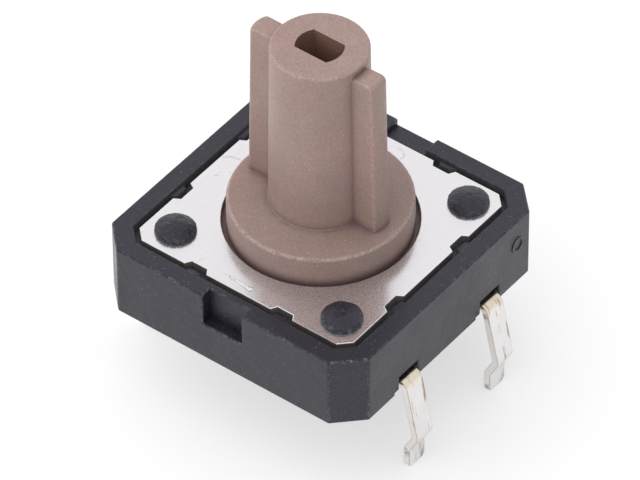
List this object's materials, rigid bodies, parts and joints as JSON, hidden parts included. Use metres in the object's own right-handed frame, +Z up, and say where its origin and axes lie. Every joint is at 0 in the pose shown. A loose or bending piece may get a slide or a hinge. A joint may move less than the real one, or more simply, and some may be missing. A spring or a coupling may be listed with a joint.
{
  "type": "tactile push button switch",
  "caption": "Square through-hole tactile switch with a steel cover held by staked posts, bent snap-in terminals and a tall round push stem with keying ribs.",
  "frame": {"origin": "centre of the plane in which the housing's foot seats on the board", "axes": "+Z up along the stem; +X towards the row of terminals beside the moulded ring; +Y from the windowed side to the notched side"},
  "size_m": [0.0136, 0.012, 0.0156],
  "materials": {
    "housing_plastic": "glass-filled nylon, moulded matt, charcoal",
    "cover_steel": "stamped from bright rolled sheet",
    "stem_plastic": "moulded matt, mauve brown",
    "dome_steel": "stamped spring steel",
    "plated_brass": "silver plated, stamped and bent"
  },
  "bodies": {
    "housing": {"base": "housing_plastic", "cover_plate": "cover_steel", "snap_dome": "dome_steel", "common_contact": "plated_brass", "centre_contact": "plated_brass"},
    "button": {"plunger": "stem_plastic"}
  },
  "joints": [
    {"name": "press", "type": "slide", "parent": "housing", "child": "button", "axis": [0, 0, -1], "range_m": [0, 0.0003], "stiffness_N_per_m": 5200, "deforming": ["snap_dome"]}
  ]
}
